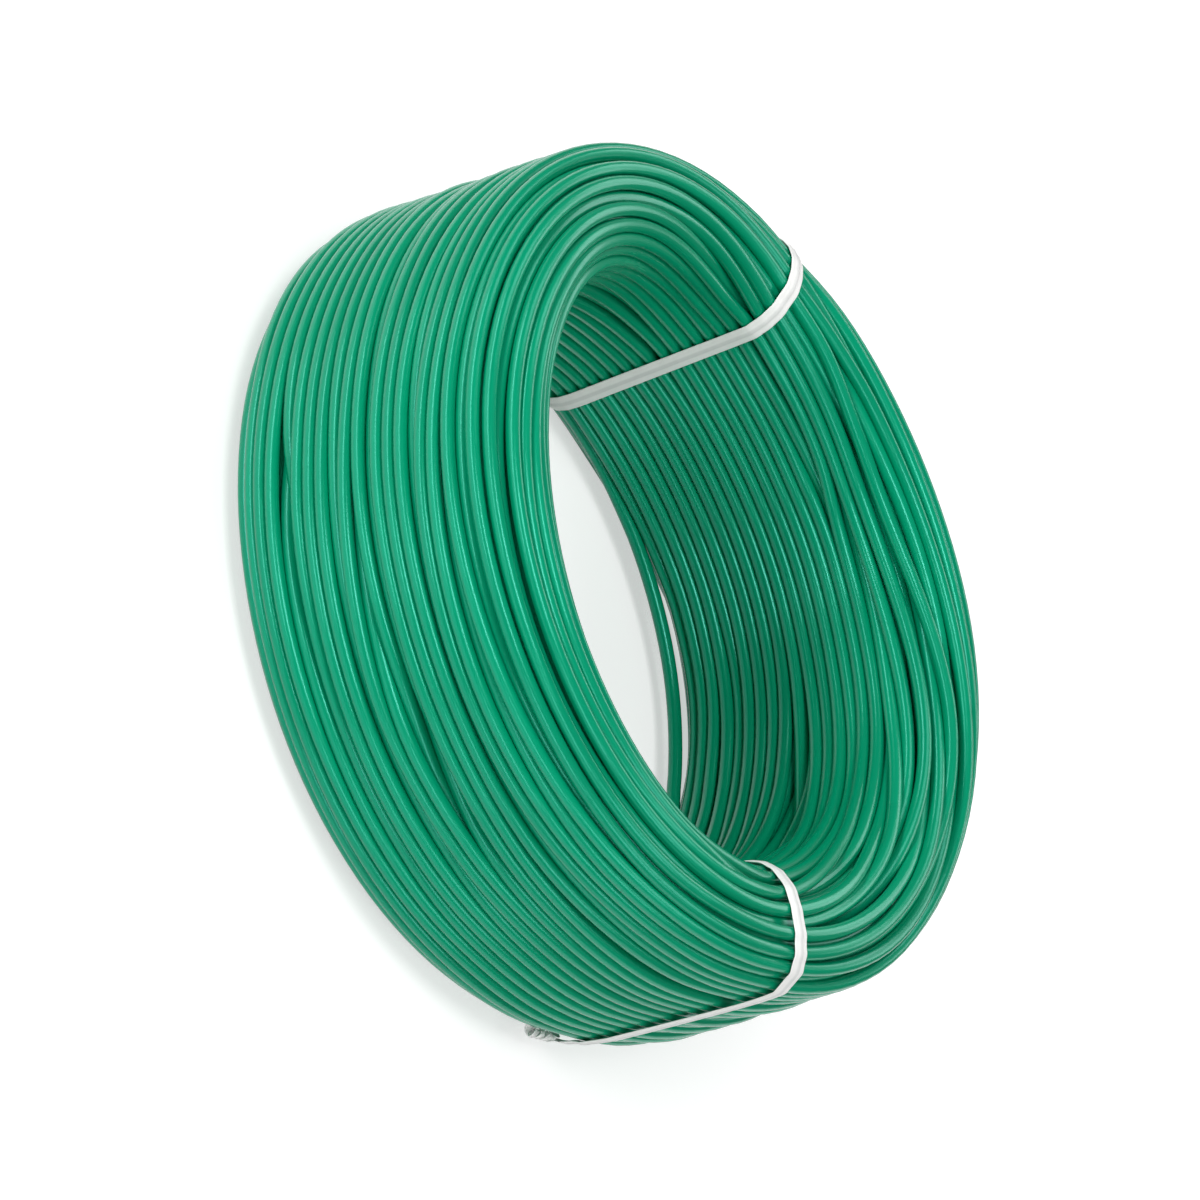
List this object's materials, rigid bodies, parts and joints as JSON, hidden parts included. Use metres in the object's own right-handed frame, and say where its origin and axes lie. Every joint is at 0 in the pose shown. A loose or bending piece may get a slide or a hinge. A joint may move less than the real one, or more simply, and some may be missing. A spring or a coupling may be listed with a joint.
{
  "type": "wire coil",
  "caption": "Level-wound ring coil of green plastic-insulated single-core wire with an open round bore, bound by flat white twist ties.",
  "frame": {"origin": "centre of the face that the coil lies on, on the axis of its bore", "axes": "+Z along the coil's axis, from the face it lies on to the other; the ties stand at 133 and 342 degrees from +X towards +Y"},
  "size_m": [0.2016, 0.2016, 0.0804],
  "materials": {
    "sheath": "glossy extruded green PVC",
    "conductor": "bare drawn copper, cut square",
    "tie": "satin white plastic ribbon over a steel core"
  },
  "bodies": {
    "root": {"winding_layer_1": "sheath", "winding_layer_2": "sheath", "winding_layer_3": "sheath", "winding_layer_4": "sheath", "winding_layer_5": "sheath", "winding_layer_6": "sheath", "winding_layer_7": "sheath", "winding_layer_8": "sheath", "winding_layer_9": "sheath", "start_end_sheath": "sheath", "start_end_conductor": "conductor", "finish_end_sheath": "sheath", "finish_end_conductor": "conductor", "twist_tie_1": "tie", "twist_tie_2": "tie"}
  },
  "joints": []
}
